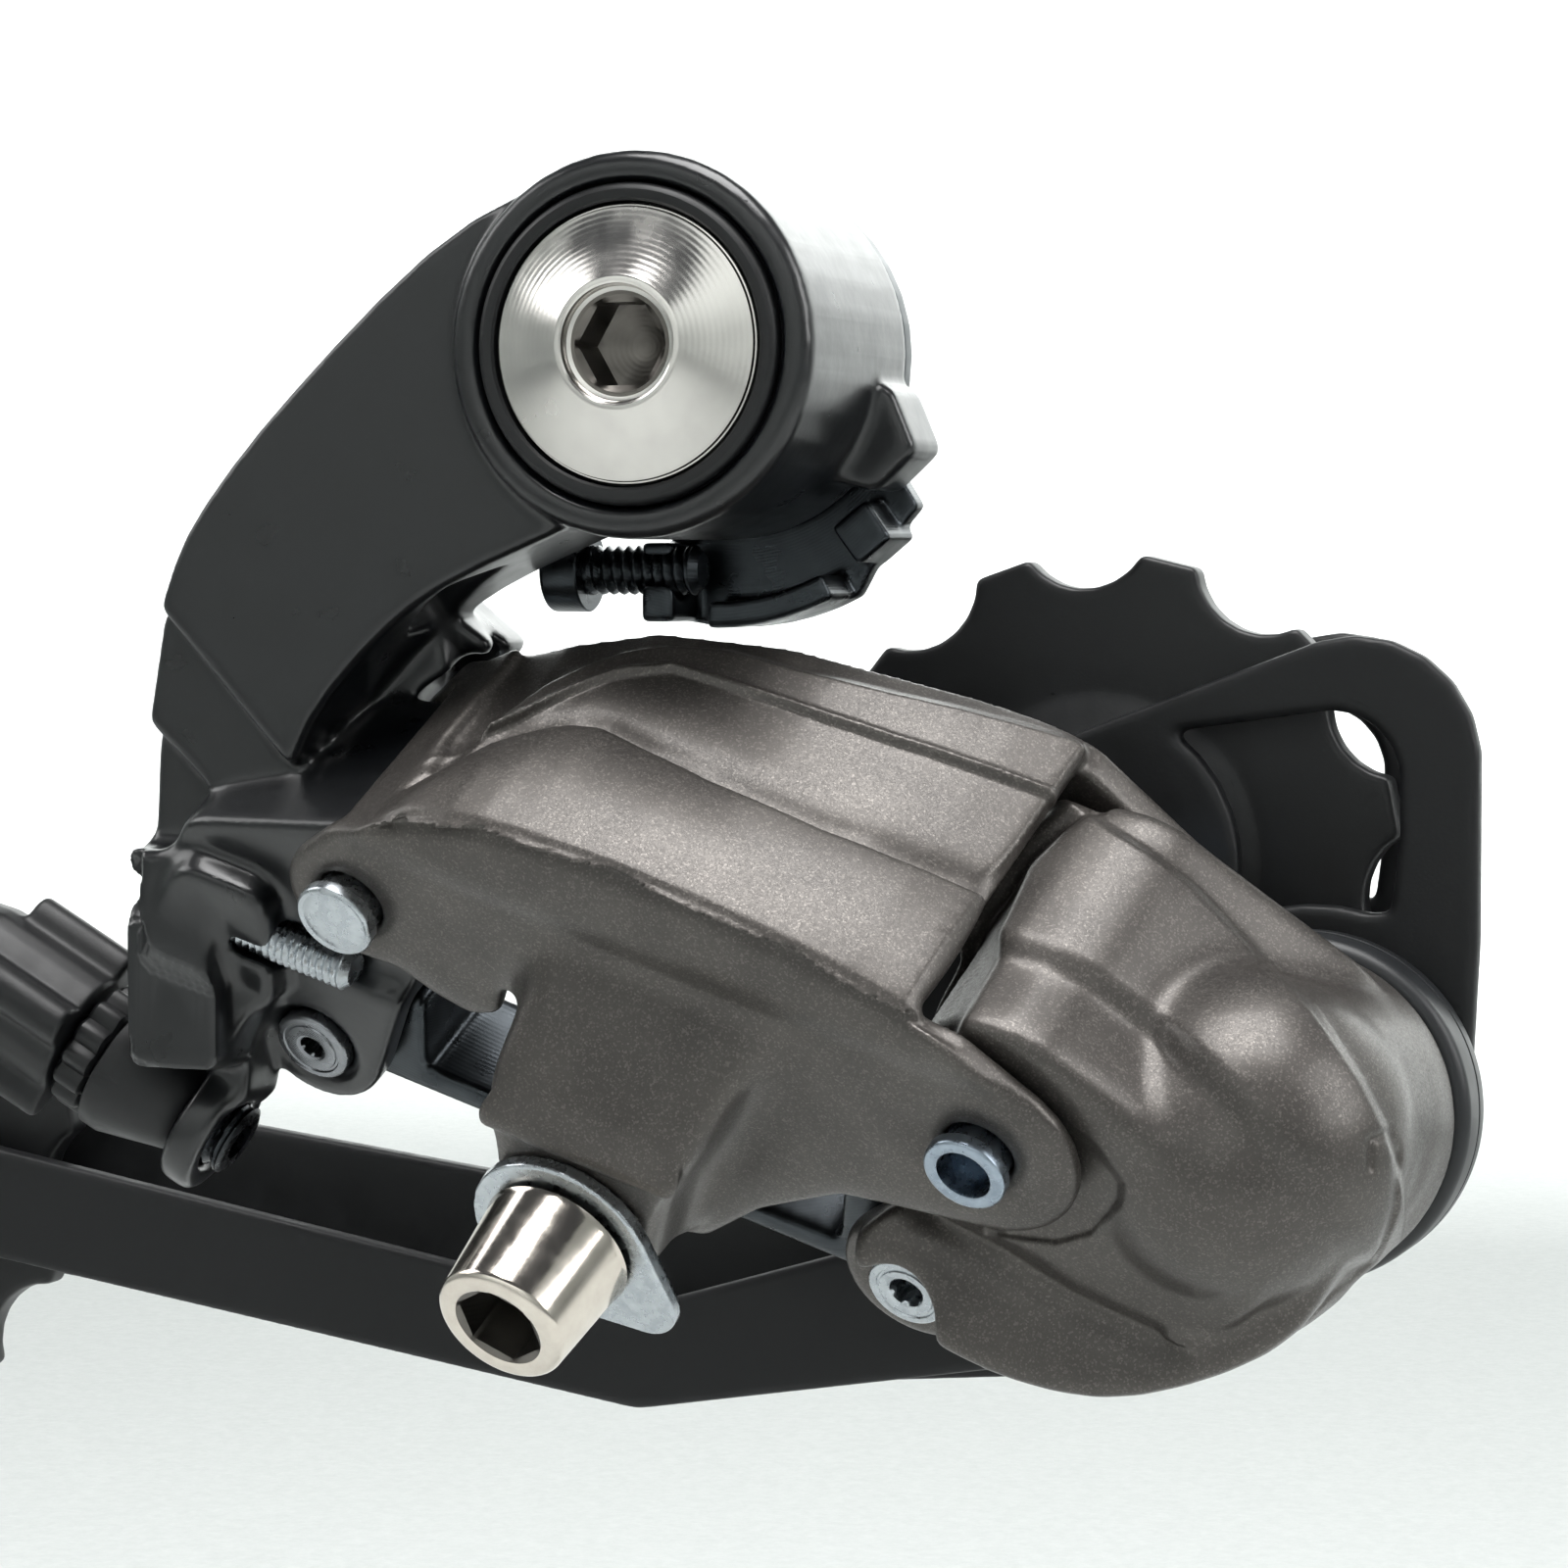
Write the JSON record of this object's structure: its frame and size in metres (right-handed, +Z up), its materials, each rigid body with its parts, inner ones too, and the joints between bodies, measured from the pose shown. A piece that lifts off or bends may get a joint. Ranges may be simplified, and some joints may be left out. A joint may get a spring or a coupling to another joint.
{
  "type": "bicycle rear derailleur",
  "caption": "Long-cage bicycle rear derailleur: a spring-loaded slanted parallelogram with limit screws, cable anchor and barrel adjuster carries a sprung cage with toothed pulleys.",
  "frame": {"origin": "On the hanger bolt's axis, in the plane of the frame hanger's outer face", "axes": "+X forward along the bicycle, +Y towards the wheel (inboard), +Z up, with the bicycle upright and the derailleur hanging from its bolt at the high gear position"},
  "size_m": [0.1436, 0.0499, 0.0883],
  "materials": {
    "black_painted_alloy": "gloss black paint on cast aluminium",
    "bronze_painted_alloy": "warm grey metallic paint on cast aluminium",
    "turned_steel": "turned bright steel",
    "dark_steel": "blackened steel",
    "black_painted_steel": "satin black paint on pressed steel",
    "nickel_plate": "polished nickel plate",
    "zinc_plate": "bright zinc plate",
    "spring_steel": "drawn spring wire",
    "black_plastic": "moulded black nylon",
    "sintered_bronze": "oil-filled sintered bronze"
  },
  "bodies": {
    "mount": {"hanger_bolt": "turned_steel", "retaining_clip": "dark_steel", "stopper_plate": "dark_steel"},
    "tension_screw": {"b_tension_screw": "dark_steel"},
    "upper_knuckle_body": {"upper_knuckle": "black_painted_alloy", "upper_pivot_bush": "black_plastic", "upper_pivot_spring": "spring_steel", "upper_outer_pin": "zinc_plate", "upper_inner_pin": "zinc_plate"},
    "high_limit": {"high_limit_screw": "zinc_plate"},
    "low_limit": {"low_limit_screw": "zinc_plate"},
    "barrel_adjuster": {"adjuster_screw": "turned_steel", "adjuster_sleeve": "black_plastic", "adjuster_ring": "black_plastic", "adjuster_knob": "black_plastic"},
    "outer_link_body": {"outer_link": "bronze_painted_alloy", "cable_anchor_bolt": "nickel_plate", "cable_anchor_washer": "zinc_plate", "lower_outer_pin": "zinc_plate"},
    "inner_link_body": {"inner_link": "dark_steel", "return_spring": "spring_steel"},
    "lower_knuckle_body": {"lower_knuckle": "bronze_painted_alloy", "lower_inner_pin": "zinc_plate", "lower_pivot_spring": "spring_steel"},
    "cage": {"cage_axle": "turned_steel", "cage_collar": "black_plastic", "cage_stop_pin": "zinc_plate", "outer_cage_plate": "black_painted_steel", "inner_cage_plate": "black_painted_steel", "guide_pulley_bush": "sintered_bronze", "guide_pulley_outer_cap": "dark_steel", "guide_pulley_inner_cap": "dark_steel", "guide_pulley_bolt": "dark_steel", "tension_pulley_bush": "sintered_bronze", "tension_pulley_outer_cap": "dark_steel", "tension_pulley_inner_cap": "dark_steel", "tension_pulley_bolt": "dark_steel"},
    "guide_wheel": {"guide_pulley": "black_plastic"},
    "tension_wheel": {"tension_pulley": "black_plastic"}
  },
  "joints": [
    {"name": "hanger_pivot", "type": "hinge", "parent": "mount", "child": "upper_knuckle_body", "pos_m": [0, 0, 0], "axis": [0, -1, 0], "range_deg": [0, 40], "stiffness_Nm_per_rad": 1.2, "springref_deg": -40.11},
    {"name": "tension_screw_turn", "type": "hinge", "parent": "mount", "child": "tension_screw", "pos_m": [0, -0.0062, -0.0137], "axis": [1, 0, 0], "range_deg": [-360, 360]},
    {"name": "parallelogram_shift", "type": "hinge", "parent": "upper_knuckle_body", "child": "outer_link_body", "pos_m": [-0.01678, -0.0176, -0.03014], "axis": [0.1899, 0.7996, 0.5697], "range_deg": [0, 50], "stiffness_Nm_per_rad": 0.8, "springref_deg": -40.11},
    {"name": "inner_link_turn", "type": "hinge", "parent": "upper_knuckle_body", "child": "inner_link_body", "pos_m": [-0.02482, -0.00593, -0.04034], "axis": [0.1899, 0.7996, 0.5697], "range_deg": [0, 50]},
    {"name": "lower_knuckle_turn", "type": "hinge", "parent": "outer_link_body", "child": "lower_knuckle_body", "pos_m": [0.02471, -0.01425, -0.04165], "axis": [0.1899, 0.7996, 0.5697], "range_deg": [-50, 0]},
    {"name": "cage_pivot", "type": "hinge", "parent": "lower_knuckle_body", "child": "cage", "pos_m": [0.0362, 0, -0.0476], "axis": [0, -1, 0], "range_deg": [0, 100], "stiffness_Nm_per_rad": 0.25, "springref_deg": -68.75},
    {"name": "guide_pulley_spin", "type": "hinge", "parent": "cage", "child": "guide_wheel", "pos_m": [0.0206, 0.0105, -0.0328], "axis": [0, 1, 0], "continuous": true},
    {"name": "tension_pulley_spin", "type": "hinge", "parent": "cage", "child": "tension_wheel", "pos_m": [-0.076, 0.0105, -0.0562], "axis": [0, 1, 0], "continuous": true},
    {"name": "high_limit_turn", "type": "hinge", "parent": "upper_knuckle_body", "child": "high_limit", "pos_m": [-0.01989, -0.0172, -0.03933], "axis": [0.9472, 0.0035, -0.3207], "range_deg": [-360, 360]},
    {"name": "low_limit_turn", "type": "hinge", "parent": "upper_knuckle_body", "child": "low_limit", "pos_m": [-0.01858, -0.01168, -0.0354], "axis": [0.9472, 0.0035, -0.3207], "range_deg": [-360, 360]},
    {"name": "barrel_adjuster_turn", "type": "hinge", "parent": "upper_knuckle_body", "child": "barrel_adjuster", "pos_m": [-0.0351, -0.011, -0.0496], "axis": [-0.8503, -0.08, 0.5202], "range_deg": [-360, 360]}
  ],
  "couplings": [
    {"joint": "inner_link_turn", "follows": "parallelogram_shift", "ratio": 1},
    {"joint": "lower_knuckle_turn", "follows": "parallelogram_shift", "ratio": -1}
  ]
}
